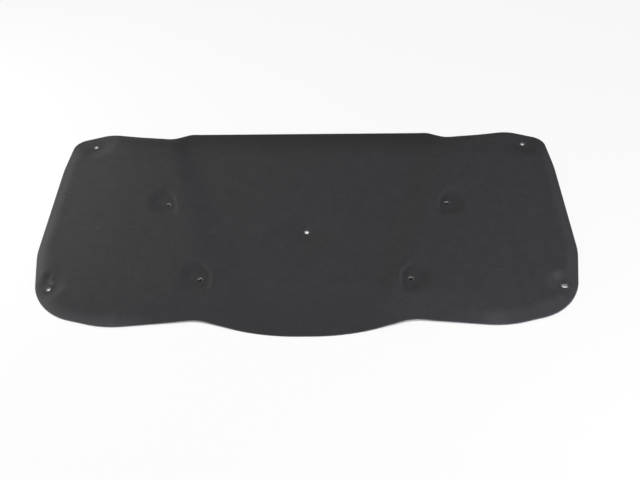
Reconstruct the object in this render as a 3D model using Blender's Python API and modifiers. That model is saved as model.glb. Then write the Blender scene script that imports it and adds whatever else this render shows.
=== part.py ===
"""Hood insulation pad: one moulded sheet of black fibre felt with nine clip holes, engine side up.

Metres, +Z up. The origin is on the floor below the middle of the pad. +X runs across the car and
+Y towards the windscreen, so the bowed edge at -Y is the front one. The pad is built as it is made:
a flat blank is cut to the outline, pressed thin at its rim and round its clip holes, bent over the
two long ridges, and punched.
"""

import math
from typing import NamedTuple

import bmesh
import bpy
from mathutils import Matrix, Vector
from mathutils.geometry import delaunay_2d_cdt, intersect_point_line

# Plan of the right half. Insets run inwards from the side, setbacks inwards from the rear or front.
WIDTH = 1.222
DEPTH = 0.659
REAR_STRAIGHT = 0.616
STEP_RUN = 0.0460
STEP_SETBACK = 0.0235
STEP_TOP_RADIUS = 0.043
STEP_FOOT_RADIUS = 0.044
LOBE_INSET = 0.0935
LOBE_OVERSHOOT = 0.0027
LOBE_RADIUS = 0.094
REAR_CORNER_INSET = 0.0060
REAR_CORNER_SETBACK = 0.0295
REAR_CORNER_RADIUS = 0.040
WIDEST_SETBACK = 0.1400
WIDEST_RADIUS = 0.340
NARROWING_INSET = 0.0085
NARROWING_SETBACK = 0.2305
NARROWING_RADIUS = 0.182
FRONT_CORNER_INSET = 0.0460
FRONT_CORNER_SETBACK = 0.0635
FRONT_CORNER_RADIUS = 0.130
FRONT_LOBE_INSET = 0.1990
FRONT_LOBE_SETBACK = 0.0235
FRONT_LOBE_RADIUS = 0.225
VALLEY_INSET = 0.3890
VALLEY_SETBACK = 0.0405
VALLEY_RADIUS = 0.114
BOW_HALF_CHORD = 0.085
BOW_RADIUS = 0.485

# Section of the sheet. A rise is the width over which the thin rim climbs to the full field. A reach is how
# far from the middle a form keeps its full measure, and a fade is the length over which it then ends.
FIELD_THICKNESS = 0.0105
RIM_THICKNESS = 0.0030
SHOULDER_STRAIGHT = 0.35
SIDE_RISE = 0.032
REAR_RISE = 0.092
REAR_RISE_REACH = 0.270
REAR_RISE_FADE = 0.080
VALLEY_RISE = 0.100
VALLEY_RISE_REACH = 0.220
VALLEY_RISE_FADE = 0.110
BOW_FLANGE = 0.062
BOW_RISE = 0.085
BOW_FLANGE_REACH = 0.080
BOW_FLANGE_FADE = 0.110
ROLL_HEIGHT = 0.0010
ROLL_INSET = 0.031
ROLL_HALF_WIDTH = 0.027
ROLL_START = 0.330
ROLL_FADE = 0.120

# Clip holes, each in a thin flat seat at the bottom of a pressed dimple
HOLE_DIAMETER = 0.010
SLOT_LENGTH = 0.014
SLOT_WIDTH = 0.008
REAR_CORNER_HOLE_INSET = 0.0630
REAR_CORNER_HOLE_SETBACK = 0.0525
FRONT_CORNER_HOLE_INSET = 0.0615
FRONT_CORNER_HOLE_SETBACK = 0.1255
INNER_REAR_HOLE_SPACING = 0.653
INNER_REAR_HOLE_SETBACK = 0.2830
INNER_FRONT_HOLE_SPACING = 0.449
INNER_FRONT_HOLE_SETBACK = 0.1410
CENTRE_HOLE_SETBACK = 0.3655
CENTRE_SEAT_RADIUS = 0.010
CENTRE_SEAT_THICKNESS = 0.0045
CENTRE_SLOPE = 0.070
INNER_REAR_SEAT_RADIUS = 0.012
INNER_FRONT_SEAT_RADIUS = 0.014
INNER_SEAT_THICKNESS = 0.0040
INNER_STEEP_SLOPE = 0.009
INNER_REAR_LONG_SLOPE = 0.036
INNER_FRONT_LONG_SLOPE = 0.028
LONG_SLOPE_HEADING = Vector((0.80, 0.60))
CORNER_SEAT_RADIUS = 0.010
CORNER_SEAT_THICKNESS = 0.0028
REAR_CORNER_SLOPE = 0.055
REAR_CORNER_RUN = Vector((0.032, 0.028))
FRONT_CORNER_SLOPE = 0.034
FRONT_CORNER_RUN = Vector((0.048, -0.012))
SEAT_LEVELLING = 0.030

# Ridges that stand the back of the pad off the floor, one each side
RIDGE_HEIGHT = 0.0120
RIDGE_REAR_X = 0.368
RIDGE_FRONT_X = 0.195
RIDGE_REAR_FLANK = 0.042
RIDGE_FRONT_FLANK = 0.140
RIDGE_RUN_OUT = 0.120
RIDGE_MOUTH_HEIGHT = 0.0025
RIDGE_MOUTH_REACH = 0.090

# Fineness of the faceted form
CHORD_ERROR = 0.0002
EDGE_STEP = 0.024
FIELD_STEP = 0.0205
RIM_ROWS = (0.011, 0.021, 0.032, 0.056)
DIMPLE_ROWS = (0.5, 1.0)
DIMPLE_SIDES = 16
ROW_CLEARANCE = 0.0075
FIELD_CLEARANCE = 0.0120
PUNCH_SIDES = 24
PUNCH_MARGIN = 0.010
SAME_POINT = 0.00001

FELT_COLOR = (0.042, 0.041, 0.045, 1.0)
FELT_ROUGHNESS = 0.95

SIDE = WIDTH / 2
REAR = DEPTH / 2
FRONT = -DEPTH / 2


class Seat(NamedTuple):
    """A clip seat of the right half: a thin flat with a hole, at the bottom of a dimple."""

    centre: Vector
    hole: tuple
    radius: float
    steep_slope: float
    long_slope: float
    run: Vector
    thickness: float


def smooth(t):
    """Rises from 0 to 1 with no slope at either end."""
    t = min(max(t, 0.0), 1.0)
    return t * t * (3 - 2 * t)


def shoulder(t):
    """Rises from 0 to 1, straight at first and then rounding off level, as a soft edge does."""
    t = min(max(t, 0.0), 1.0)
    rounded = max((t - SHOULDER_STRAIGHT) / (1 - SHOULDER_STRAIGHT), 0.0)
    return (2 * t - (1 - SHOULDER_STRAIGHT) * rounded**2) / (1 + SHOULDER_STRAIGHT)


def within_reach(x, reach, fade):
    """1 near the middle of the pad, falling to 0 past a reach."""
    return 1 - smooth((abs(x) - reach) / fade)


def outline_corners():
    """Corner points (x, y, radius) of the right half, clockwise from the rear middle."""
    return (
        (REAR_STRAIGHT / 2, REAR, STEP_TOP_RADIUS),
        (REAR_STRAIGHT / 2 + STEP_RUN, REAR - STEP_SETBACK, STEP_FOOT_RADIUS),
        (SIDE - LOBE_INSET, REAR + LOBE_OVERSHOOT, LOBE_RADIUS),
        (SIDE - REAR_CORNER_INSET, REAR - REAR_CORNER_SETBACK, REAR_CORNER_RADIUS),
        (SIDE, REAR - WIDEST_SETBACK, WIDEST_RADIUS),
        (SIDE - NARROWING_INSET, FRONT + NARROWING_SETBACK, NARROWING_RADIUS),
        (SIDE - FRONT_CORNER_INSET, FRONT + FRONT_CORNER_SETBACK, FRONT_CORNER_RADIUS),
        (SIDE - FRONT_LOBE_INSET, FRONT + FRONT_LOBE_SETBACK, FRONT_LOBE_RADIUS),
        (SIDE - VALLEY_INSET, FRONT + VALLEY_SETBACK, VALLEY_RADIUS),
        (BOW_HALF_CHORD, FRONT, BOW_RADIUS),
    )


def corner_arc(before, corner, after, radius):
    """Points of the arc that rounds a corner and stays between the two points beside it."""
    back = (before - corner).normalized()
    ahead = (after - corner).normalized()
    half_angle = back.angle(ahead) / 2
    room = min((before - corner).length, (after - corner).length)
    radius = min(radius, room * math.tan(half_angle))
    centre = corner + (back + ahead).normalized() * (radius / math.sin(half_angle))
    start = corner + back * (radius / math.tan(half_angle)) - centre
    turn = math.pi - 2 * half_angle
    if back.cross(ahead) > 0:
        turn = -turn
    sides = max(2, math.ceil(abs(turn) / (2 * math.acos(1 - CHORD_ERROR / radius))))
    points = []
    for i in range(sides + 1):
        angle = turn * i / sides
        cos, sin = math.cos(angle), math.sin(angle)
        points.append(centre + Vector((start.x * cos - start.y * sin, start.x * sin + start.y * cos)))
    return points


def half_outline():
    """The right half of the outline as points, from the rear middle to the front middle."""
    corners = [Vector(c[:2]) for c in outline_corners()]
    radii = [c[2] for c in outline_corners()]
    halfway = [a.lerp(b, 0.5) for a, b in zip(corners, corners[1:])]
    limits = [Vector((0, REAR))] + halfway + [Vector((0, FRONT))]
    turning = [limits[0]]
    for i, corner in enumerate(corners):
        turning += corner_arc(limits[i], corner, limits[i + 1], radii[i])
    turning.append(limits[-1])
    points = [turning[0]]
    for a, b in zip(turning, turning[1:]):
        pieces = math.ceil((b - a).length / EDGE_STEP)
        points += [a.lerp(b, i / pieces) for i in range(1, pieces + 1)]
    return points


def inward_normals(points):
    """The inward normal at each point of the half outline, level at the plane of symmetry."""
    normals = []
    for i, point in enumerate(points):
        before = points[i - 1] if i else Vector((-points[1].x, points[1].y))
        after = points[i + 1] if i + 1 < len(points) else Vector((-points[-2].x, points[-2].y))
        along = (point - before).normalized() + (after - point).normalized()
        normals.append(Vector((along.y, -along.x)).normalized())
    return normals


def edge_distance(spot, outline):
    """Distance from a spot to the half outline."""
    nearest = math.inf
    for a, b in zip(outline, outline[1:]):
        foot, share = intersect_point_line(spot, a, b)
        foot = a.lerp(b, min(max(share, 0.0), 1.0))
        nearest = min(nearest, (spot - foot).length)
    return nearest


def clip_seats():
    """The clip seats at x >= 0 by name."""
    inner_rear = Vector((INNER_REAR_HOLE_SPACING / 2, REAR - INNER_REAR_HOLE_SETBACK))
    inner_front = Vector((INNER_FRONT_HOLE_SPACING / 2, FRONT + INNER_FRONT_HOLE_SETBACK))
    rear_corner = Vector((SIDE - REAR_CORNER_HOLE_INSET, REAR - REAR_CORNER_HOLE_SETBACK))
    front_corner = Vector((SIDE - FRONT_CORNER_HOLE_INSET, FRONT + FRONT_CORNER_HOLE_SETBACK))
    centre = Vector((0, REAR - CENTRE_HOLE_SETBACK))
    round_hole, slot = (HOLE_DIAMETER, HOLE_DIAMETER), (SLOT_LENGTH, SLOT_WIDTH)
    closed = Vector((0, 0))
    return {
        "centre": Seat(centre, round_hole, CENTRE_SEAT_RADIUS, CENTRE_SLOPE,
                       CENTRE_SLOPE, closed, CENTRE_SEAT_THICKNESS),
        "inner_rear": Seat(inner_rear, round_hole, INNER_REAR_SEAT_RADIUS, INNER_STEEP_SLOPE,
                           INNER_REAR_LONG_SLOPE, closed, INNER_SEAT_THICKNESS),
        "inner_front": Seat(inner_front, round_hole, INNER_FRONT_SEAT_RADIUS, INNER_STEEP_SLOPE,
                            INNER_FRONT_LONG_SLOPE, closed, INNER_SEAT_THICKNESS),
        "rear_corner": Seat(rear_corner, round_hole, CORNER_SEAT_RADIUS, REAR_CORNER_SLOPE,
                            REAR_CORNER_SLOPE, REAR_CORNER_RUN, CORNER_SEAT_THICKNESS),
        "front_corner": Seat(front_corner, slot, CORNER_SEAT_RADIUS, FRONT_CORNER_SLOPE,
                             FRONT_CORNER_SLOPE, FRONT_CORNER_RUN, CORNER_SEAT_THICKNESS),
    }


def dimple_slope(seat, out):
    """Width of a dimple's slope in a direction: steep on one side, long towards the rear and the side."""
    facing = out.normalized().dot(LONG_SLOPE_HEADING) if out.length else 0.0
    return seat.steep_slope + (seat.long_slope - seat.steep_slope) * smooth((facing + 1) / 2)


def seat_share(spot, seat):
    """How far a spot has climbed out of a seat, from 0 on its flat to 1 on the field."""
    out = spot - seat.centre
    if seat.run.length:
        along = out.dot(seat.run) / seat.run.length_squared
        out -= seat.run * min(max(along, 0.0), 1.0)
    return smooth((out.length - seat.radius) / dimple_slope(seat, out))


def border_rise(spot, to_edge):
    """How far the sheet has climbed from its thin rim, from 0 at the rim to 1 on the field."""
    if spot.y > 0:
        rear = within_reach(spot.x, REAR_RISE_REACH, REAR_RISE_FADE)
        return shoulder(to_edge / (SIDE_RISE + (REAR_RISE - SIDE_RISE) * rear))
    valley = within_reach(spot.x, VALLEY_RISE_REACH, VALLEY_RISE_FADE)
    bow = within_reach(spot.x, BOW_FLANGE_REACH, BOW_FLANGE_FADE)
    beside_bow = SIDE_RISE + (VALLEY_RISE - SIDE_RISE) * valley
    climb = (to_edge - BOW_FLANGE * bow) / (beside_bow + (BOW_RISE - beside_bow) * bow)
    return shoulder(climb) + (smooth(climb) - shoulder(climb)) * bow


def thickness(spot, outline, seats):
    """Thickness of the sheet: thin at its rim and seats, full between, with a low roll along its sides."""
    to_edge = edge_distance(spot, outline)
    depth = RIM_THICKNESS + (FIELD_THICKNESS - RIM_THICKNESS) * border_rise(spot, to_edge)
    roll = 1 - smooth(abs(to_edge - ROLL_INSET) / ROLL_HALF_WIDTH)
    depth += ROLL_HEIGHT * roll * (1 - within_reach(spot.x, ROLL_START, ROLL_FADE))
    for seat in seats.values():
        pressed = min(depth, seat.thickness)
        depth = pressed + (depth - pressed) * seat_share(spot, seat)
    return depth


def ridge_lift(spot):
    """Height of the back off the floor over a ridge: steep inwards, long and domed outwards."""
    forward = (REAR - spot.y) / DEPTH
    crest = RIDGE_REAR_X + (RIDGE_FRONT_X - RIDGE_REAR_X) * forward
    flank = RIDGE_REAR_FLANK + (RIDGE_FRONT_FLANK - RIDGE_REAR_FLANK) * forward
    from_crest = spot.x - crest
    if from_crest > 0:
        across = 1 - min(from_crest / (SIDE - crest), 1.0) ** 2
    else:
        across = 1 - smooth(-from_crest / flank)
    to_edge = min(REAR - spot.y, spot.y - FRONT)
    run = smooth(to_edge / RIDGE_RUN_OUT)
    mouth = RIDGE_MOUTH_HEIGHT * (1 - smooth(abs(from_crest) / RIDGE_MOUTH_REACH))
    return RIDGE_HEIGHT * across * run + mouth * (1 - run)


def back_height(spot, seats):
    """Height of the back of the sheet, made level under each clip seat."""
    height = ridge_lift(spot)
    for seat in seats.values():
        share = 1 - smooth(((spot - seat.centre).length - seat.radius) / SEAT_LEVELLING)
        height += (ridge_lift(seat.centre) - height) * share
    return height


def dimple_ring(seat, share):
    """Points round a seat at a share of its slope, or round its right half on the plane of symmetry."""
    if seat.centre.x:
        angles = [2 * math.pi * i / DIMPLE_SIDES for i in range(DIMPLE_SIDES)]
    else:
        angles = [math.pi * (i / (DIMPLE_SIDES // 2) - 0.5) for i in range(DIMPLE_SIDES // 2 + 1)]
    points = []
    for angle in angles:
        out = Vector((math.cos(angle), math.sin(angle)))
        points.append(seat.centre + out * (seat.radius + dimple_slope(seat, out) * share))
    return points


def rim_row(outline, inset):
    """Points in a row that follows the rim at an inset."""
    return [point + normal * inset for point, normal in zip(outline, inward_normals(outline))]


def field_points():
    """Staggered rows of points over the whole sheet."""
    row_step = FIELD_STEP * math.sqrt(3) / 2
    points = []
    for row in range(int(DEPTH / row_step) + 1):
        for column in range(int(SIDE / FIELD_STEP) + 1):
            points.append(Vector(((column + row % 2 / 2) * FIELD_STEP, FRONT + row * row_step)))
    return points


def within(spot, outline):
    """True for a spot between the plane of symmetry and the half outline."""
    crossings = 0
    for a, b in zip(outline, outline[1:]):
        if (a.y > spot.y) != (b.y > spot.y):
            crossings += a.x + (b.x - a.x) * (spot.y - a.y) / (b.y - a.y) > spot.x
    return crossings % 2 == 1


def in_seat(spot, seats):
    """True for a spot on the flat of a clip seat, or within reach of its edge."""
    return any((spot - seat.centre).length < seat.radius + ROW_CLEARANCE / 2 for seat in seats.values())


def add_apart(points, new, clearance, outline, seats):
    """Adds the new points that lie on the sheet, off its rim and seats, and clear of every earlier point."""
    for spot in new:
        off_plane = abs(spot.x) < SAME_POINT or spot.x > clearance / 2
        on_sheet = within(spot, outline) and edge_distance(spot, outline) > ROW_CLEARANCE
        if off_plane and on_sheet and not in_seat(spot, seats):
            if all((spot - point).length > clearance for point in points):
                points.append(spot)


def blank_plan(outline, seats):
    """Points and edges that the triangles of the flat half blank keep to."""
    points = list(outline)
    edges = [(i, i + 1) for i in range(len(outline) - 1)]
    for seat in seats.values():
        first = len(points)
        points += dimple_ring(seat, 0)
        edges += [(i, i + 1) for i in range(first, len(points) - 1)]
        if seat.centre.x:
            edges.append((len(points) - 1, first))
    for share in DIMPLE_ROWS:
        for seat in seats.values():
            add_apart(points, dimple_ring(seat, share), ROW_CLEARANCE, outline, seats)
    for inset in RIM_ROWS:
        add_apart(points, rim_row(outline, inset), ROW_CLEARANCE, outline, seats)
    add_apart(points, field_points(), FIELD_CLEARANCE, outline, seats)
    for point in points:
        if abs(point.x) < SAME_POINT:
            point.x = 0
    middle = sorted((i for i, p in enumerate(points) if p.x == 0), key=lambda i: points[i].y)
    edges += list(zip(middle, middle[1:]))
    return points, edges


def flat_half_blank(outline, seats):
    """The right half of the blank, flat on the floor, with the group that says how thick it gets."""
    points, edges = blank_plan(outline, seats)
    inside_edges = 1
    spots, _, faces, _, _, _ = delaunay_2d_cdt(points, edges, [], inside_edges, SAME_POINT)
    mesh = bpy.data.meshes.new("half_blank")
    mesh.from_pydata([(s.x, s.y, 0) for s in spots], [], faces)
    blank = bpy.data.objects.new("half_blank", mesh)
    loft = blank.vertex_groups.new(name="loft")
    for i, spot in enumerate(spots):
        loft.add([i], thickness(spot, outline, seats) / (FIELD_THICKNESS + ROLL_HEIGHT), "REPLACE")
    return blank


def thickened(blank):
    """A mesh of the whole blank at its full section, still flat underneath."""
    mirror = blank.modifiers.new("other_half", "MIRROR")
    mirror.merge_threshold = 0.0001
    section = blank.modifiers.new("section", "SOLIDIFY")
    section.thickness = FIELD_THICKNESS + ROLL_HEIGHT
    section.offset = 1
    section.vertex_group = "loft"
    bpy.context.scene.collection.objects.link(blank)
    evaluated = blank.evaluated_get(bpy.context.evaluated_depsgraph_get())
    mesh = bpy.data.meshes.new_from_object(evaluated)
    bpy.data.objects.remove(blank)
    return mesh


def punch(name, centre, length, width, collection):
    """A punch for one hole, round where its length and width are equal and a slot across the car if not."""
    bottom, top = -PUNCH_MARGIN, RIDGE_HEIGHT + FIELD_THICKNESS + ROLL_HEIGHT + PUNCH_MARGIN
    form = bmesh.new()
    bmesh.ops.create_cone(form, cap_ends=True, segments=PUNCH_SIDES, radius1=width / 2,
                          radius2=width / 2, depth=top - bottom)
    half_side = math.pi / PUNCH_SIDES
    bmesh.ops.rotate(form, verts=form.verts, matrix=Matrix.Rotation(half_side, 3, "Z"))
    for vertex in form.verts:
        vertex.co.x += math.copysign((length - width) / 2, vertex.co.x)
    mesh = bpy.data.meshes.new(name)
    form.to_mesh(mesh)
    form.free()
    cutter = bpy.data.objects.new(name, mesh)
    cutter.location = (centre.x, centre.y, (top + bottom) / 2)
    cutter.hide_render = True
    cutter.display_type = "WIRE"
    collection.objects.link(cutter)


def add_punches(seats, collection):
    """Nine punches: one in the middle and a pair on each other seat, where the left one is always round."""
    for name, seat in seats.items():
        punch(name + "_punch_right", seat.centre, *seat.hole, collection)
        if seat.centre.x:
            across = Vector((-seat.centre.x, seat.centre.y))
            punch(name + "_punch_left", across, HOLE_DIAMETER, HOLE_DIAMETER, collection)


def felt_material():
    """Black fibre felt."""
    material = bpy.data.materials.new("black_felt")
    material.use_nodes = True
    shader = material.node_tree.nodes["Principled BSDF"]
    shader.inputs["Base Color"].default_value = FELT_COLOR
    shader.inputs["Roughness"].default_value = FELT_ROUGHNESS
    shader.inputs["Metallic"].default_value = 0.0
    return material


def add_pad(seats, parts, punches):
    """The pad itself: the thick blank bent over the ridges, then punched."""
    mesh = thickened(flat_half_blank(half_outline(), seats))
    for vertex in mesh.vertices:
        vertex.co.z += back_height(Vector((abs(vertex.co.x), vertex.co.y)), seats)
    mesh.name = "insulation_pad"
    mesh.materials.append(felt_material())
    pad = bpy.data.objects.new("insulation_pad", mesh)
    holes = pad.modifiers.new("clip_holes", "BOOLEAN")
    holes.operand_type = "COLLECTION"
    holes.collection = punches
    holes.solver = "EXACT"
    parts.objects.link(pad)


def main():
    for old in list(bpy.data.objects):
        bpy.data.objects.remove(old)
    parts = bpy.data.collections.new("hood_insulation_pad")
    punches = bpy.data.collections.new("punches")
    for collection in (parts, punches):
        bpy.context.scene.collection.children.link(collection)
    seats = clip_seats()
    add_punches(seats, punches)
    add_pad(seats, parts, punches)


main()
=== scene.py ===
import math
from typing import NamedTuple

import bpy
import numpy as np
from mathutils import Matrix, Vector, noise
from mathutils.geometry import delaunay_2d_cdt


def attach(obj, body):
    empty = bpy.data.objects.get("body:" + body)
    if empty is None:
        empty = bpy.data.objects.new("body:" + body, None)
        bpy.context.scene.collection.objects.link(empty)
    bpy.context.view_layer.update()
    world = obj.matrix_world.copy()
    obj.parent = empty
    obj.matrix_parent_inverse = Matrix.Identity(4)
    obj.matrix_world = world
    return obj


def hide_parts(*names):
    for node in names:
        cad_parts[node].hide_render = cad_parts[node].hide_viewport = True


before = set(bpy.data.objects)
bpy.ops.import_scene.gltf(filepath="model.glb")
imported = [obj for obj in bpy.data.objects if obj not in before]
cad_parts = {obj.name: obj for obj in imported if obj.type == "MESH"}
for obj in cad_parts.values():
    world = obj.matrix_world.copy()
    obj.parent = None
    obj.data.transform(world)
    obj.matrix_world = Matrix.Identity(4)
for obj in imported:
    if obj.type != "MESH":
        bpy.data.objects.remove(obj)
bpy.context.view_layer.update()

# Plan of the pad's right half, in metres: corners as (x, y, radius that rounds the corner), in order from the
# rear middle to the front middle. The last one is the bow of the front edge.
SIDE = 0.611
REAR = 0.3295
FRONT = -0.3295
STEP_TOP = (0.3080, REAR, 0.043)
STEP_FOOT = (0.3540, REAR - 0.0235, 0.044)
REAR_LOBE = (SIDE - 0.0935, REAR + 0.0027, 0.094)
REAR_CORNER = (SIDE - 0.0060, REAR - 0.0295, 0.040)
WIDEST = (SIDE, REAR - 0.1400, 0.340)
NARROWING = (SIDE - 0.0085, FRONT + 0.2305, 0.182)
FRONT_CORNER = (SIDE - 0.0460, FRONT + 0.0635, 0.130)
FRONT_LOBE = (SIDE - 0.1990, FRONT + 0.0235, 0.225)
VALLEY = (SIDE - 0.3890, FRONT + 0.0405, 0.114)
BOW = (0.085, FRONT, 0.485)
PLAN = (STEP_TOP, STEP_FOOT, REAR_LOBE, REAR_CORNER, WIDEST, NARROWING, FRONT_CORNER, FRONT_LOBE, VALLEY, BOW)

# Section of the sheet. A rise is the width over which the thin border climbs to the full field. A reach is
# how far from the middle a form keeps its full measure, and over what length it then fades.
FIELD_THICKNESS = 0.0105
RIM_THICKNESS = 0.0030
SIDE_RISE = 0.032
REAR_RISE = 0.092
REAR_REACH = (0.270, 0.080)
VALLEY_RISE = 0.100
VALLEY_REACH = (0.220, 0.110)
BOW_RISE = 0.085
BOW_FLANGE = 0.062
BOW_REACH = (0.080, 0.110)
ROLL_HEIGHT = 0.0010
ROLL_INSET = 0.031
ROLL_HALF_WIDTH = 0.027
ROLL_REACH = (0.330, 0.120)
SHOULDER_STRAIGHT = 0.55
EDGE_ROUNDING = 0.0014
HOLE_ROUNDING = 0.0006

# Clip holes as (length, width), and the front right one, which is a slot
HOLE_SIZE = (0.010, 0.010)
SLOT_SIZE = (0.014, 0.008)


class Seat(NamedTuple):
    """A pressed clip seat: the radius of the flat round its hole, the widths of the slope up to the field on
    its steep and its long side, the thickness left, and how far the flat runs out towards the rim."""
    centre: tuple
    radius: float
    steep: float
    long: float
    thickness: float
    run: tuple = (0.0, 0.0)
    hole: tuple = HOLE_SIZE


CENTRE_SEAT = Seat((0.0, REAR - 0.3655), 0.010, 0.070, 0.070, 0.0045)
INNER_REAR_SEAT = Seat((0.3265, REAR - 0.2830), 0.016, 0.005, 0.036, 0.0038, (0.004, 0.012))
INNER_FRONT_SEAT = Seat((0.2245, FRONT + 0.1410), 0.020, 0.005, 0.028, 0.0038, (0.002, 0.010))
REAR_CORNER_SEAT = Seat((SIDE - 0.0630, REAR - 0.0525), 0.010, 0.055, 0.055, 0.0028, (0.032, 0.028))
FRONT_CORNER_SEAT = Seat((SIDE - 0.0615, FRONT + 0.1255), 0.010, 0.034, 0.034, 0.0028, (0.048, -0.012))
SIDE_SEATS = (INNER_REAR_SEAT, INNER_FRONT_SEAT, REAR_CORNER_SEAT, FRONT_CORNER_SEAT)

# Where a right seat's long slope heads, and the width round a seat over which the back comes level
LONG_SLOPE_HEADING = (0.92, -0.39)
SEAT_LEVELLING = 0.030

# Small creases and folds of this pad: where each starts and ends, its half width and the share of the
# thickness that it takes, or adds where it is below zero
CREASES = (
    ((-0.5630, -0.1980), (-0.5570, -0.1700), 0.013, 0.60),
    ((-0.5425, -0.1945), (-0.5470, -0.1835), 0.009, -0.30),
    ((0.5460, -0.1900), (0.5445, -0.1760), 0.012, 0.50),
    ((-0.0800, -0.0560), (-0.0700, -0.0480), 0.007, 0.12),
)

# Painted highlight on the left rim, where it faces the left lamp: its width, how far from the middle and how
# far forward it starts, and over what length it comes in
LEFT_RIM_HIGHLIGHT = (0.028, (0.290, -0.120), (0.100, 0.250))

# Pale spots at the front corners and on the front lobes, partly wear and partly painted highlight where the
# edges face the front lamps: place, radius and how pale
WORN_AND_LIT_SPOTS = (
    ((-0.4000, -0.3010), 0.032, 1.2),
    ((0.3900, -0.3060), 0.045, 0.7),
    ((0.5760, -0.2180), 0.050, 0.7),
    ((-0.5450, -0.1885), 0.010, 1.5),
    ((0.5340, -0.1795), 0.009, 0.9),
    ((0.5440, -0.1790), 0.018, 0.5),
)

# Painted shade in a band along the rear, where the sheet slopes away from the light: its width, the place
# of its middle, its reach and its fade
SHADE_BAND_WIDTH = 0.120
SHADE_BAND_MIDDLE = -0.060
SHADE_BAND_REACH = (0.340, 0.140)

# Ridges that stand the back of the pad off the floor, one each side
RIDGE_HEIGHT = 0.0120
RIDGE_REAR_X = 0.368
RIDGE_FRONT_X = 0.195
RIDGE_REAR_FLANK = 0.042
RIDGE_FRONT_FLANK = 0.140
RIDGE_RUN_OUT = 0.120
RIDGE_MOUTH_HEIGHT = 0.0025
RIDGE_MOUTH_REACH = 0.090

# Slow waves of laid felt, as (waves in a metre, height)
FELT_WAVES = ((7.0, 0.00045), (19.0, 0.00022), (46.0, 0.00009))

# Fineness of the sheet. The rows inside the rim and the clear band behind them are in widths of its rounding.
OUTLINE_STEP = 0.006
FIELD_STEP = 0.0055
RING_STEP = 0.0024
RINGED_SLOPE = 0.020
RIM_ROWS = (0.3, 1.0, 2.6)
RIM_CLEARANCE = 4.6
CHORD_ERROR = 0.00004
HOLE_SIDES = 40
SHARP_EDGE = math.radians(60)
SAME_POINT = 1e-6
TINY = 1e-9

# The two ways to fill a plan with triangles: out to the hull of its points, or inside its outline alone
FILL_HULL = 0
FILL_INSIDE = 1

# A face is a cut one where its normal is this close to level. A hole's edge is frayed this far, and the cut
# faces of the rim are this share as pale as a hole's wall.
STEEP_FACE = 0.35
HOLE_FRAY = 0.0035
RIM_FRAY = 0.3

# Colours of the felt: the two ends of its mottle, then where it is pressed, in painted shade along the rear,
# pale with painted highlight and some wear, and cut, and the colours of its loose fibres. The shares say how
# far pressed felt and the painted highlight go to their own colours.
FIELD_COLORS = ((0.0355, 0.0338, 0.0365, 1), (0.0485, 0.0462, 0.0495, 1))
PRESSED_COLOR = (0.036, 0.0345, 0.037, 1)
REAR_SHADE_COLOR = (0.027, 0.026, 0.028, 1)
HIGHLIGHT_AND_WEAR_COLOR = (0.072, 0.072, 0.077, 1)
CUT_COLORS = ((0.16, 0.16, 0.16, 1), (0.80, 0.79, 0.78, 1))
FIBRE_COLORS = ((0.08, 0.08, 0.08, 1), (0.30, 0.29, 0.28, 1))
PRESSED_SHARE = 0.4
HIGHLIGHT_AND_WEAR_SHARE = 0.7

# Roughness of the felt, and how much smoother it is where it is pressed
FELT_ROUGHNESS = 0.98
PRESSED_SMOOTHING = 0.14

# Patterns of the felt in patches to a metre, with the heading of each set of its strands in degrees, how many
# times longer than wide a strand is, and the part of the pattern's range that the colours span
STRANDS = ((330, 12), (290, 73), (310, 131))
STRAND_LENGTH = 9
MATTING_SCALE = 900
CLUMP_SCALE = 160
MOTTLE_SCALE = 40
FIBRE_SCALE = 300
PATTERN_RANGE = (0.36, 0.64)

# Relief of the felt's fibres
RELIEF_STRENGTH = 0.55
RELIEF_HEIGHT = 0.0012

# Loose fibres: the mark of the faces that carry them, how many to a square metre, their length and thickness,
# and the seed of their places
HOLE_FUZZ = {"Where": "hole_edge", "Density": 330000.0, "Length": 0.0026, "Thickness": 0.00028, "Seed": 3}
LINT = {"Where": "upper", "Density": 260.0, "Length": 0.0060, "Thickness": 0.00018, "Seed": 11}
FIBRE_SIDES = 3
FIBRE_POINTS = 5

# Shape of a fibre in its own lengths: where it bends and how high it ends. Then its tilt, and the least and
# the most of its size.
FIBRE_BEND = (0.5, 0.3, 0.2)
FIBRE_END_HEIGHT = 0.05
FIBRE_TILT = 0.30
FIBRE_SIZES = (0.5, 1.3)

# The floor: how far it goes, its colour, and the share of the camera's view of the open floor that is plain
# white. The rest is lit floor and its shadow.
FLOOR_REACH = 30.0
FLOOR_COLOR = (0.93, 0.93, 0.93, 1)
FLOOR_GLOW = 0.87

# Level of the white surround as light, and the soft lamps: name, place, target, size, power and colour
WORLD_LEVEL = 0.155
LAMPS = (
    ("left_softbox", (-1.6, 0.20, 0.28), (-0.3, 0, 0), (0.4, 1.2), 26, (0.96, 1.0, 0.94)),
    ("front_softbox", (0.1, -3.0, 1.8), (0, 0, 0), (3.0, 1.0), 41, (1.0, 0.91, 0.88)),
    ("right_softbox", (1.4, -1.3, 0.34), (0.3, 0, 0), (0.5, 0.9), 30, (0.82, 0.87, 1.0)),
    ("top_softbox", (0, 0, 3.0), (0, 0, 0), (2.0, 2.0), 22, (1.0, 1.0, 1.0)),
)
WHITE = (1, 1, 1, 1)

# Camera, found from the outline and the clip holes, for a picture 640 wide
FOCAL_PIXELS = 754.7
PICTURE_WIDTH = 640
SENSOR_WIDTH = 36.0
CAMERA_PLACE = Vector((0.0506, -1.2513, 1.2248))
CAMERA_ELEVATION = math.radians(45.723)
CAMERA_AZIMUTH = math.radians(0.978)
CAMERA_ROLL = math.radians(-1.096)


def smooth(t):
    """Rises from 0 to 1 with no slope at either end."""
    t = np.clip(t, 0.0, 1.0)
    return t * t * (3 - 2 * t)


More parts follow.
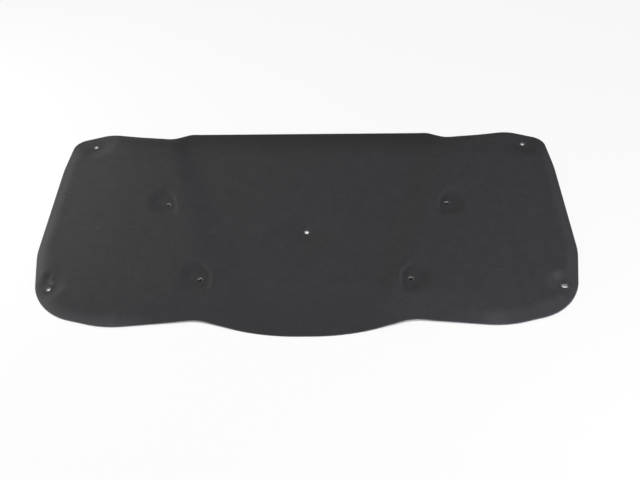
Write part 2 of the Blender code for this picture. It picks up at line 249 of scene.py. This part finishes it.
def shoulder(t):
    """Rises from 0 to 1, straight at first and then rounding off level, as a soft edge does."""
    t = np.clip(t, 0.0, 1.0)
    rounded = np.clip((t - SHOULDER_STRAIGHT) / (1 - SHOULDER_STRAIGHT), 0.0, 1.0)
    return (2 * t - (1 - SHOULDER_STRAIGHT) * rounded**2) / (1 + SHOULDER_STRAIGHT)


def corner_arc(before, corner, after, radius):
    """Points of the arc that rounds a corner and stays between the two points beside it."""
    back, ahead = (before - corner).normalized(), (after - corner).normalized()
    half_angle = back.angle(ahead) / 2
    room = min((before - corner).length, (after - corner).length)
    radius = min(radius, room * math.tan(half_angle))
    centre = corner + (back + ahead).normalized() * (radius / math.sin(half_angle))
    start = corner + back * (radius / math.tan(half_angle)) - centre
    turn = math.copysign(math.pi - 2 * half_angle, ahead.cross(back))
    sides = max(3, math.ceil(abs(turn) / (2 * math.acos(1 - CHORD_ERROR / radius))))
    return [centre + Matrix.Rotation(turn * i / sides, 2) @ start for i in range(sides + 1)]


def pad_outline():
    """The closed outline, clockwise from the rear middle."""
    corners = [Vector(place[:2]) for place in PLAN]
    halfway = [a.lerp(b, 0.5) for a, b in zip(corners, corners[1:])]
    limits = [Vector((0, REAR))] + halfway + [Vector((0, FRONT))]
    turning = [limits[0]]
    for i, corner in enumerate(corners):
        turning += corner_arc(limits[i], corner, limits[i + 1], PLAN[i][2])
    turning.append(limits[-1])
    right = [turning[0]]
    for a, b in zip(turning, turning[1:]):
        pieces = math.ceil((b - a).length / OUTLINE_STEP)
        right += [a.lerp(b, i / pieces) for i in range(1, pieces + 1)]
    right = np.array(right)
    return np.vstack([right, right[-2:0:-1] * [-1, 1]])


def edge_distance(spots, outline):
    """Distance of each spot to the outline."""
    nearest = np.full(len(spots), np.inf)
    for start, end in zip(outline, np.roll(outline, -1, axis=0)):
        step, out = end - start, spots - start
        share = np.clip(out @ step / (step @ step), 0, 1)
        nearest = np.minimum(nearest, np.linalg.norm(out - share[:, None] * step, axis=1))
    return nearest


def within(spots, outline):
    """True for each spot inside the outline."""
    crossings = np.zeros(len(spots), int)
    for (ax, ay), (bx, by) in zip(outline, np.roll(outline, -1, axis=0)):
        if ay != by:
            beside = (ay > spots[:, 1]) != (by > spots[:, 1])
            crossings += beside & (ax + (bx - ax) * (spots[:, 1] - ay) / (by - ay) > spots[:, 0])
    return crossings % 2 == 1


def clip_seats():
    """The nine seats: one in the middle and four pairs, of which the front right one is slotted."""
    seats = [CENTRE_SEAT]
    for seat in SIDE_SEATS:
        (x, y), (run_x, run_y) = seat.centre, seat.run
        for side in (1, -1):
            seats.append(seat._replace(centre=(x * side, y), run=(run_x * side, run_y)))
    right_front = seats.index(FRONT_CORNER_SEAT)
    seats[right_front] = FRONT_CORNER_SEAT._replace(hole=SLOT_SIZE)
    return seats


def seat_share(spots, seat):
    """How far each spot has climbed out of a seat, from 0 on its flat to 1 on the field."""
    out, run = spots - seat.centre, np.array(seat.run)
    along = np.clip(out @ run / max(run @ run, TINY), 0, 1)
    out = out - along[:, None] * run
    away = np.linalg.norm(out, axis=1)
    heading = np.array([math.copysign(LONG_SLOPE_HEADING[0], seat.centre[0]), LONG_SLOPE_HEADING[1]])
    facing = out @ heading / np.maximum(away, TINY)
    slope = seat.steep + (seat.long - seat.steep) * smooth(facing + 1)
    return smooth((away - seat.radius) / slope)


def hole_distance(spots, seat):
    """Distance of each spot from the edge of a hole, below zero inside it."""
    length, width = seat.hole
    out = spots - seat.centre
    out[:, 0] -= np.clip(out[:, 0], (width - length) / 2, (length - width) / 2)
    return np.linalg.norm(out, axis=1) - width / 2


def hole_ring(seat, margin):
    """Points round a hole at a margin from its edge."""
    length, width = seat.hole
    angles = 2 * math.pi * (np.arange(HOLE_SIDES) + 0.5) / HOLE_SIDES
    ring = np.stack([np.cos(angles), np.sin(angles)], 1) * (width / 2 + margin)
    ring[:, 0] += np.sign(ring[:, 0]) * (length - width) / 2
    return ring + seat.centre


def within_reach(x, reach):
    """1 near the middle of the pad, falling to 0 past a reach, given as its start and its length."""
    return 1 - smooth((np.abs(x) - reach[0]) / reach[1])


def border_climb(spots, to_edge):
    """How far the sheet has climbed from its thin rim to its full field, from 0 to 1."""
    x, at_rear = spots[:, 0], spots[:, 1] > 0
    bow = np.where(at_rear, 0, within_reach(x, BOW_REACH))
    rear_rise = SIDE_RISE + (REAR_RISE - SIDE_RISE) * within_reach(x, REAR_REACH)
    front_rise = SIDE_RISE + (VALLEY_RISE - SIDE_RISE) * within_reach(x, VALLEY_REACH)
    rise = np.where(at_rear, rear_rise, front_rise + (BOW_RISE - front_rise) * bow)
    climb = (to_edge - BOW_FLANGE * bow) / rise
    return shoulder(climb) + (smooth(climb) - shoulder(climb)) * bow


def thickness(spots, to_edge, seats):
    """Thickness of the sheet: thin at the rim and on the clip seats, full between, rounded where cut."""
    depth = RIM_THICKNESS + (FIELD_THICKNESS - RIM_THICKNESS) * border_climb(spots, to_edge)
    from_roll = np.abs(to_edge - ROLL_INSET) / ROLL_HALF_WIDTH
    depth += ROLL_HEIGHT * (1 - smooth(from_roll)) * (1 - within_reach(spots[:, 0], ROLL_REACH))
    for seat in seats:
        floor = np.minimum(depth, seat.thickness)
        depth = floor + (depth - floor) * seat_share(spots, seat)
    depth *= 1 - crease_share(spots)
    depth -= EDGE_ROUNDING * (1 - np.clip(to_edge / EDGE_ROUNDING, 0, 1)) ** 2
    for seat in seats:
        depth -= HOLE_ROUNDING * (1 - np.clip(hole_distance(spots, seat) / HOLE_ROUNDING, 0, 1)) ** 2
    return depth


def crease_share(spots):
    """Share of the thickness that the small creases take."""
    share = np.zeros(len(spots))
    for start, end, half_width, taken in CREASES:
        run, out = np.subtract(end, start), spots - start
        along = np.clip(out @ run / (run @ run), 0, 1)
        away = np.linalg.norm(out - along[:, None] * run, axis=1)
        share += taken * (1 - smooth(away / half_width))
    return share


def highlight_and_wear(spots, to_edge):
    """How pale each spot is painted: 0 is the plain field, 1 the full painted highlight of the left rim; the
    front spots are partly wear.
    """
    width, start, fade = LEFT_RIM_HIGHLIGHT
    place = smooth((-spots - start) / fade)
    pale = place[:, 0] * place[:, 1] * (1 - smooth(to_edge / width))
    for centre, radius, share in WORN_AND_LIT_SPOTS:
        away = np.linalg.norm(spots - centre, axis=1)
        pale = np.maximum(pale, share * (1 - smooth(away / radius)))
    return pale


def painted_rear_shade(spots, to_edge):
    """How far each spot is in the painted shade along the rear, from 0 to 1."""
    at_rear = spots[:, 1] > 0
    return at_rear * within_reach(spots[:, 0] - SHADE_BAND_MIDDLE, SHADE_BAND_REACH) * (1 - smooth(to_edge / SHADE_BAND_WIDTH))


def ridge_lift(spots):
    """Height of the back over a ridge: steep inwards, long and domed outwards."""
    x, y = np.abs(spots[:, 0]), spots[:, 1]
    forward = (REAR - y) / (REAR - FRONT)
    crest = RIDGE_REAR_X + (RIDGE_FRONT_X - RIDGE_REAR_X) * forward
    flank = RIDGE_REAR_FLANK + (RIDGE_FRONT_FLANK - RIDGE_REAR_FLANK) * forward
    outwards = 1 - np.clip((x - crest) / (SIDE - crest), 0, 1) ** 2
    inwards = 1 - smooth((crest - x) / flank)
    run = smooth(np.minimum(REAR - y, y - FRONT) / RIDGE_RUN_OUT)
    mouth = RIDGE_MOUTH_HEIGHT * (1 - smooth(np.abs(x - crest) / RIDGE_MOUTH_REACH))
    return RIDGE_HEIGHT * outwards * inwards * run + mouth * (1 - run)


def back_height(spots, seats):
    """Height of the back of the sheet, level under each clip seat."""
    height = ridge_lift(spots)
    for seat in seats:
        away = np.linalg.norm(spots - seat.centre, axis=1)
        share = 1 - smooth((away - seat.radius) / SEAT_LEVELLING)
        height += (ridge_lift(np.array([seat.centre])) - height) * share
    return height


def felt_waves(spots):
    """Slow waves that laying and pressing leave in the top of the felt."""
    def wave(rate):
        return np.array([noise.noise((x * rate, y * rate, rate)) for x, y in spots])
    return sum(height * wave(rate) for rate, height in FELT_WAVES)


def seat_rings(seat):
    """Points in rings from a hole's edge to the outside of its dimple."""
    land = seat.radius - seat.hole[0] / 2
    margins = [HOLE_ROUNDING, HOLE_FRAY, *np.arange(land, land + RINGED_SLOPE, RING_STEP)]
    return [hole_ring(seat, margin) for margin in margins]


def rim_rows(outline):
    """Points in rows just inside the rim, where its edge is rounded."""
    along = np.roll(outline, -1, axis=0) - np.roll(outline, 1, axis=0)
    inward = np.stack([along[:, 1], -along[:, 0]], 1) / np.linalg.norm(along, axis=1)[:, None]
    return [outline + inward * EDGE_ROUNDING * share for share in RIM_ROWS]


def field_points(outline, seats):
    """Staggered points that fill the sheet between its rim and its dimples."""
    row_step = FIELD_STEP * math.sqrt(3) / 2
    x, y = np.meshgrid(np.arange(-SIDE, SIDE, FIELD_STEP), np.arange(FRONT, REAR, row_step))
    x[::2] += FIELD_STEP / 2
    spots = np.stack([x.ravel(), y.ravel()], 1)
    keep = within(spots, outline) & (edge_distance(spots, outline) > EDGE_ROUNDING * RIM_CLEARANCE)
    for seat in seats:
        away = np.linalg.norm(spots - seat.centre, axis=1)
        keep &= away > seat.radius + RINGED_SLOPE + FIELD_STEP / 3
    return spots[keep]


def ring_edges(loops):
    """The edges that close each loop of points on itself, numbered through all the loops."""
    edges, first = [], 0
    for loop in loops:
        edges += [(first + i, first + (i + 1) % len(loop)) for i in range(len(loop))]
        first += len(loop)
    return edges


def flat_sheet(outline, seats):
    """Places and triangles of the flat sheet, with its clip holes left open."""
    loops = [outline] + [hole_ring(seat, 0) for seat in seats]
    fill = rim_rows(outline) + [field_points(outline, seats)]
    for seat in seats:
        fill += seat_rings(seat)
    points = [Vector(p) for p in np.vstack(loops + fill)]
    spots, _, faces, _, _, _ = delaunay_2d_cdt(points, ring_edges(loops), [], FILL_INSIDE, SAME_POINT)
    spots, faces = np.array(spots), np.array(faces)
    middles = spots[faces].mean(axis=1)
    solid = np.min([hole_distance(middles, seat) for seat in seats], axis=0) > 0
    return spots, faces[solid]


def felt_sheet(felt):
    """The moulded pad: a flat sheet given its thickness, bent over the ridges and marked for its finish."""
    outline, seats = pad_outline(), clip_seats()
    spots, faces = flat_sheet(outline, seats)
    mesh = bpy.data.meshes.new("flat_sheet")
    mesh.from_pydata([(x, y, 0) for x, y in spots], [], faces.tolist())
    flat = bpy.data.objects.new("flat_sheet", mesh)
    loft = flat.vertex_groups.new(name="loft")
    for i, depth in enumerate(thickness(spots, edge_distance(spots, outline), seats)):
        loft.add([i], depth / (FIELD_THICKNESS + ROLL_HEIGHT), "REPLACE")
    section = flat.modifiers.new("section", "SOLIDIFY")
    section.thickness = FIELD_THICKNESS + ROLL_HEIGHT
    section.offset = 1
    section.vertex_group = "loft"
    sheet = finished_mesh(flat, "felt_sheet")
    shape_sheet(sheet, outline, seats)
    sheet.materials.clear()
    sheet.materials.append(felt)
    return linked("felt_sheet", sheet)


def shape_sheet(sheet, outline, seats):
    """Bends the sheet over its ridges, and marks it for its finish and its loose fibres."""
    places = np.empty(len(sheet.vertices) * 3)
    sheet.vertices.foreach_get("co", places)
    places = places.reshape(-1, 3)
    spots = places[:, :2].copy()
    to_edge = edge_distance(spots, outline)
    depth = thickness(spots, to_edge, seats)
    loft = np.clip((depth - RIM_THICKNESS) / (FIELD_THICKNESS - RIM_THICKNESS), 0, 1)
    on_top = places[:, 2] > depth / 2
    places[:, 2] += back_height(spots, seats) + on_top * loft * felt_waves(spots)
    sheet.vertices.foreach_set("co", places.ravel())
    sheet.update()
    # Marks for the finish: pressed felt, painted highlight with some real wear, and painted shade along the
    # rear
    marks = {"pressed": 1 - border_climb(spots, to_edge), "highlight_and_wear": highlight_and_wear(spots, to_edge),
             "rear_shade": painted_rear_shade(spots, to_edge)}
    for name, values in marks.items():
        sheet.attributes.new(name, "FLOAT", "POINT").data.foreach_set("value", values)
    facing = np.empty(len(sheet.polygons) * 3)
    sheet.polygons.foreach_get("normal", facing)
    facing = facing.reshape(-1, 3)[:, 2]
    middles = np.empty(len(sheet.polygons) * 3)
    sheet.polygons.foreach_get("center", middles)
    middles = middles.reshape(-1, 3)[:, :2]
    from_hole = np.min([hole_distance(middles, seat) for seat in seats], axis=0)
    steep = np.abs(facing) < STEEP_FACE
    upper = facing > STEEP_FACE
    at_hole = from_hole < HOLE_FRAY
    faces = {"cut": steep * np.where(at_hole, 1.0, RIM_FRAY), "hole_edge": at_hole & upper, "upper": upper}
    for name, values in faces.items():
        sheet.attributes.new(name, "FLOAT", "FACE").data.foreach_set("value", values.astype(float))
    sheet.shade_smooth()
    sheet.set_sharp_from_angle(angle=SHARP_EDGE)


def finished_mesh(obj, name):
    """The mesh that an object's modifiers make, without the object."""
    bpy.context.scene.collection.objects.link(obj)
    evaluated = obj.evaluated_get(bpy.context.evaluated_depsgraph_get())
    mesh = bpy.data.meshes.new_from_object(evaluated)
    mesh.name = name
    bpy.data.objects.remove(obj)
    return mesh


def linked(name, mesh):
    """A mesh as an object in the scene."""
    obj = bpy.data.objects.new(name, mesh)
    bpy.context.scene.collection.objects.link(obj)
    return obj


class Tree:
    """A node tree, and the one way that nodes get into it."""

    def __init__(self, nodes):
        self.nodes = nodes

    def add(self, kind, settings=None, sockets=None):
        """Adds a node: its settings first, then the values or links of its sockets."""
        made = self.nodes.nodes.new(kind)
        for name, value in (settings or {}).items():
            setattr(made, name, value)
        for name, value in (sockets or {}).items():
            self.feed(self.named(made.inputs, name), value)
        return made

    def named(self, sockets, name):
        """A socket by its number, or the one in use among those of a name."""
        if isinstance(name, int):
            return sockets[name]
        return next(socket for socket in sockets if socket.name == name and socket.enabled)

    def feed(self, socket, value):
        """Sets a socket to a plain value, or links it."""
        value = getattr(value, "socket", value)
        if isinstance(value, bpy.types.NodeSocket):
            self.nodes.links.new(value, socket)
        else:
            socket.default_value = value

    def number(self, kind, settings=None, sockets=None, output=0):
        """The output of a node as a number that takes arithmetic."""
        return Number(self, self.add(kind, settings, sockets).outputs[output])


class Number:
    """A number that varies over a surface. Arithmetic on it adds Math nodes."""

    def __init__(self, tree, socket):
        self.tree = tree
        self.socket = socket

    def math(self, operation, first, second):
        """The result of a Math node."""
        return self.tree.number("ShaderNodeMath", {"operation": operation}, {0: first, 1: second})

    def __add__(self, other):
        return self.math("ADD", self, other)

    def __radd__(self, other):
        return self.math("ADD", other, self)

    def __sub__(self, other):
        return self.math("SUBTRACT", self, other)

    def __rsub__(self, other):
        return self.math("SUBTRACT", other, self)

    def __mul__(self, other):
        return self.math("MULTIPLY", self, other)

    def __rmul__(self, other):
        return self.math("MULTIPLY", other, self)


class Finish(Tree):
    """A material on Object coordinates."""

    def __init__(self, name, constants):
        self.material = bpy.data.materials.new(name)
        self.material.use_nodes = True
        super().__init__(self.material.node_tree)
        self.shader = self.nodes.nodes["Principled BSDF"]
        self.place = self.add("ShaderNodeTexCoord").outputs["Object"]
        for socket, value in constants.items():
            self.shader.inputs[socket].default_value = value

    def cloud(self, scale, detail=3.0, place=None):
        """Soft noise from 0 to 1, with its scale in patches to a metre."""
        sockets = {"Vector": place or self.place, "Scale": scale, "Detail": detail}
        return self.number("ShaderNodeTexNoise", {"noise_dimensions": "3D"}, sockets)

    def strands(self, scale, heading):
        """Noise drawn out into fibres that run one way."""
        turn, stretch = (0, 0, math.radians(heading)), (1, STRAND_LENGTH, 1)
        sockets = {"Vector": self.place, "Rotation": turn, "Scale": stretch}
        drawn_out = self.add("ShaderNodeMapping", {}, sockets)
        return self.cloud(scale, 2.0, drawn_out.outputs["Vector"])

    def ramp(self, value, low, high):
        """How far a number has gone from low to high, from 0 to 1."""
        sockets = {"Value": value, "From Min": low, "From Max": high}
        return self.number("ShaderNodeMapRange", {"interpolation_type": "SMOOTHSTEP"}, sockets)

    def mark(self, name):
        """A number kept on the mesh."""
        return self.number("ShaderNodeAttribute", {"attribute_name": name}, {}, "Fac")

    def blend(self, share, low, high):
        """A colour between two others."""
        mix = self.add("ShaderNodeMix", {"data_type": "RGBA"}, {"Factor": share, "A": low, "B": high})
        return self.named(mix.outputs, "Result")

    def set(self, **values):
        """Feeds sockets of the shader."""
        for name, value in values.items():
            self.feed(self.shader.inputs[name.replace("_", " ")], value)
        return self.material


def felt_finish():
    """Black needled felt: matted fibres, slow mottle, denser where pressed, grey fibre ends where cut."""
    felt = Finish("black_felt", {"Metallic": 0.0, "Specular IOR Level": 0.08, "Sheen Weight": 0.06,
                                 "Sheen Roughness": 0.6})
    first, second, third = [felt.strands(scale, heading) for scale, heading in STRANDS]
    fibres = (first + second + third) * (1 / 3)
    matting = felt.cloud(MATTING_SCALE, 2.0)
    mottle = felt.cloud(MOTTLE_SCALE)
    clumps = felt.cloud(CLUMP_SCALE)
    shade = felt.ramp(fibres * 0.4 + matting * 0.25 + mottle * 0.2 + clumps * 0.15, *PATTERN_RANGE)
    color = felt.blend(shade, *FIELD_COLORS)
    pressed = felt.mark("pressed")
    color = felt.blend(pressed * PRESSED_SHARE, color, PRESSED_COLOR)
    # Painted shade along the rear, where the sheet slopes away from the light
    color = felt.blend(felt.mark("rear_shade"), color, REAR_SHADE_COLOR)
    # Painted highlight on the left rim and the front edges, with some real wear at the front corners
    color = felt.blend(felt.mark("highlight_and_wear") * HIGHLIGHT_AND_WEAR_SHARE, color, HIGHLIGHT_AND_WEAR_COLOR)
    color = felt.blend(felt.mark("cut"), color, felt.blend(fibres, *CUT_COLORS))
    height = fibres * 0.6 + matting * 0.5 + clumps * 0.6
    relief = {"Strength": RELIEF_STRENGTH, "Distance": RELIEF_HEIGHT, "Height": height}
    bump = felt.add("ShaderNodeBump", {}, relief)
    return felt.set(Base_Color=color, Roughness=FELT_ROUGHNESS - pressed * PRESSED_SMOOTHING,
                    Normal=bump.outputs["Normal"])


def lint_finish():
    """Pale loose fibres."""
    lint = Finish("pale_fibres", {"Metallic": 0.0, "Roughness": 0.9, "Specular IOR Level": 0.1})
    return lint.set(Base_Color=lint.blend(lint.cloud(FIBRE_SCALE), *FIBRE_COLORS))


def fibre_tree():
    """Short bent fibres strewn over the faces that a mark names, each lying close to the surface."""
    group = bpy.data.node_groups.new("loose_fibres", "GeometryNodeTree")
    kinds = {"Geometry": "Geometry", "Where": "String", "Density": "Float", "Length": "Float",
             "Thickness": "Float", "Seed": "Int", "Finish": "Material"}
    for name, kind in kinds.items():
        group.interface.new_socket(name, in_out="INPUT", socket_type="NodeSocket" + kind)
    group.interface.new_socket("Geometry", in_out="OUTPUT", socket_type="NodeSocketGeometry")
    tree = Tree(group)
    given = tree.add("NodeGroupInput").outputs
    length = Number(tree, given["Length"])
    where = tree.add("GeometryNodeInputNamedAttribute", {"data_type": "FLOAT"}, {"Name": given["Where"]})
    density = Number(tree, given["Density"]) * Number(tree, tree.named(where.outputs, "Attribute"))
    strewn = tree.add("GeometryNodeDistributePointsOnFaces", {},
                      {"Mesh": given["Geometry"], "Density": density, "Seed": given["Seed"]}).outputs
    bend = {axis: length * share for axis, share in zip("XYZ", FIBRE_BEND)}
    middle = tree.add("ShaderNodeCombineXYZ", {}, bend)
    end = tree.add("ShaderNodeCombineXYZ", {}, {"X": length, "Z": length * FIBRE_END_HEIGHT})
    line = tree.add("GeometryNodeCurveQuadraticBezier", {},
                    {"Resolution": FIBRE_POINTS, "Start": (0, 0, 0), "Middle": middle.outputs[0],
                     "End": end.outputs[0]})
    ring = tree.add("GeometryNodeCurvePrimitiveCircle", {"mode": "RADIUS"},
                    {"Resolution": FIBRE_SIDES, "Radius": Number(tree, given["Thickness"]) * 0.5})
    fibre = tree.add("GeometryNodeCurveToMesh", {},
                     {"Curve": line.outputs[0], "Profile Curve": ring.outputs[0], "Fill Caps": True})
    least, most = (-FIBRE_TILT, -FIBRE_TILT, 0), (FIBRE_TILT, FIBRE_TILT, 2 * math.pi)
    turn = tree.add("FunctionNodeRandomValue", {"data_type": "FLOAT_VECTOR"},
                    {"Min": least, "Max": most, "Seed": given["Seed"]})
    turn = tree.add("FunctionNodeEulerToRotation", {}, {"Euler": tree.named(turn.outputs, "Value")})
    lying = tree.add("FunctionNodeRotateRotation", {"rotation_space": "LOCAL"},
                     {"Rotation": strewn["Rotation"], "Rotate By": turn.outputs[0]})
    size = tree.add("FunctionNodeRandomValue", {"data_type": "FLOAT"},
                    {"Min": FIBRE_SIZES[0], "Max": FIBRE_SIZES[1], "Seed": given["Seed"]})
    placed = tree.add("GeometryNodeInstanceOnPoints", {},
                      {"Points": strewn["Points"], "Instance": fibre.outputs[0], "Rotation": lying.outputs[0],
                       "Scale": tree.named(size.outputs, "Value")})
    real = tree.add("GeometryNodeRealizeInstances", {}, {"Geometry": placed.outputs[0]})
    dressed = tree.add("GeometryNodeSetMaterial", {},
                       {"Geometry": real.outputs[0], "Material": given["Finish"]})
    tree.add("NodeGroupOutput", {}, {"Geometry": dressed.outputs[0]})
    return group


def loose_fibres(name, sheet, group, sizes):
    """One piece of fibres strewn over the sheet, as a plain mesh."""
    carrier = bpy.data.objects.new(name, sheet)
    strew = carrier.modifiers.new("strew", "NODES")
    strew.node_group = group
    for item in group.interface.items_tree:
        if item.in_out == "INPUT" and item.name in sizes:
            strew[item.identifier] = sizes[item.name]
    return linked(name, finished_mesh(carrier, name))


def white_floor():
    """A wide white floor that keeps the pad's shadow and looks white to the camera, also through the holes
    where the pad lies flat on it."""
    floor = Finish("white_floor", {"Base Color": FLOOR_COLOR, "Roughness": 1.0, "Specular IOR Level": 0.0})
    rays = floor.add("ShaderNodeLightPath")
    glow = floor.add("ShaderNodeEmission", {}, {"Color": WHITE, "Strength": 1.0})
    seen = Number(floor, rays.outputs["Is Camera Ray"]) * floor.mark("open") * FLOOR_GLOW
    mix = floor.add("ShaderNodeMixShader", {}, {0: seen, 1: floor.shader.outputs[0], 2: glow.outputs[0]})
    floor.feed(floor.nodes.nodes["Material Output"].inputs["Surface"], mix.outputs[0])
    outline = pad_outline()
    resting = [seat for seat in clip_seats() if seat.centre[0] == 0 or abs(seat.centre[0]) > RIDGE_REAR_X]
    corners = np.array([(-1, -1), (1, -1), (1, 1), (-1, 1)]) * FLOOR_REACH
    loops = [outline, *(hole_ring(seat, 0) for seat in resting)]
    points = [Vector(p) for p in np.vstack([*loops, corners])]
    spots, _, faces, _, _, _ = delaunay_2d_cdt(points, ring_edges(loops), [], FILL_HULL, SAME_POINT)
    mesh = bpy.data.meshes.new("floor")
    mesh.from_pydata([(x, y, 0) for x, y in spots], [], faces)
    middles = np.array([np.mean([spots[i] for i in face], axis=0) for face in faces])
    in_hole = np.min([hole_distance(middles, seat) for seat in resting], axis=0) < 0
    clear = (~within(middles, outline) | in_hole).astype(float)
    mesh.attributes.new("open", "FLOAT", "FACE").data.foreach_set("value", clear)
    mesh.materials.append(floor.material)
    linked("floor", mesh)


def white_world(level):
    """An even white surround: white to the camera, and at a plain level as light."""
    world = bpy.data.worlds.new("studio")
    world.use_nodes = True
    tree = Tree(world.node_tree)
    rays = tree.add("ShaderNodeLightPath")
    seen = Number(tree, rays.outputs["Is Camera Ray"])
    background = tree.nodes.nodes["Background"]
    background.inputs["Color"].default_value = WHITE
    tree.feed(background.inputs["Strength"], seen * (1 - level) + level)
    bpy.context.scene.world = world


def softbox(name, place, target, size, power, color):
    """A large soft lamp that faces a point."""
    lamp = bpy.data.lights.new(name, "AREA")
    lamp.shape = "RECTANGLE"
    lamp.size, lamp.size_y = size
    lamp.energy = power
    lamp.color = color
    box = bpy.data.objects.new(name, lamp)
    turn = (Vector(target) - Vector(place)).to_track_quat("-Z", "Y")
    box.matrix_world = Matrix.Translation(place) @ turn.to_matrix().to_4x4()
    bpy.context.scene.collection.objects.link(box)


def photo_camera():
    """The camera at the photograph's place, with its slight roll."""
    facing = Vector((-math.sin(CAMERA_AZIMUTH), math.cos(CAMERA_AZIMUTH), 0))
    ahead = facing * math.cos(CAMERA_ELEVATION) - Vector((0, 0, math.sin(CAMERA_ELEVATION)))
    level = Vector((math.cos(CAMERA_AZIMUTH), math.sin(CAMERA_AZIMUTH), 0))
    over = level.cross(ahead)
    right = level * math.cos(CAMERA_ROLL) + over * math.sin(CAMERA_ROLL)
    up = over * math.cos(CAMERA_ROLL) - level * math.sin(CAMERA_ROLL)
    lens = bpy.data.cameras.new("photo_camera")
    lens.sensor_width = SENSOR_WIDTH
    lens.lens = FOCAL_PIXELS / PICTURE_WIDTH * SENSOR_WIDTH
    camera = bpy.data.objects.new("photo_camera", lens)
    turn = Matrix((right, up, -ahead)).transposed()
    camera.matrix_world = Matrix.Translation(CAMERA_PLACE) @ turn.to_4x4()
    bpy.context.scene.collection.objects.link(camera)
    bpy.context.scene.camera = camera


def light_studio():
    """Plain soft light, a little cooler from the right."""
    white_world(WORLD_LEVEL)
    for lamp in LAMPS:
        softbox(*lamp)


def main():
    """Builds the pad with its loose fibres, the floor, the light and the camera."""
    pad = felt_sheet(felt_finish())
    group, finish = fibre_tree(), lint_finish()
    fuzz = loose_fibres("hole_fuzz", pad.data, group, {**HOLE_FUZZ, "Finish": finish})
    lint = loose_fibres("lint", pad.data, group, {**LINT, "Finish": finish})
    for piece in (pad, fuzz, lint):
        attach(piece, "root")
        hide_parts("insulation_pad")
    white_floor()
    light_studio()
    photo_camera()
    bpy.context.scene.view_settings.view_transform = "Standard"


main()
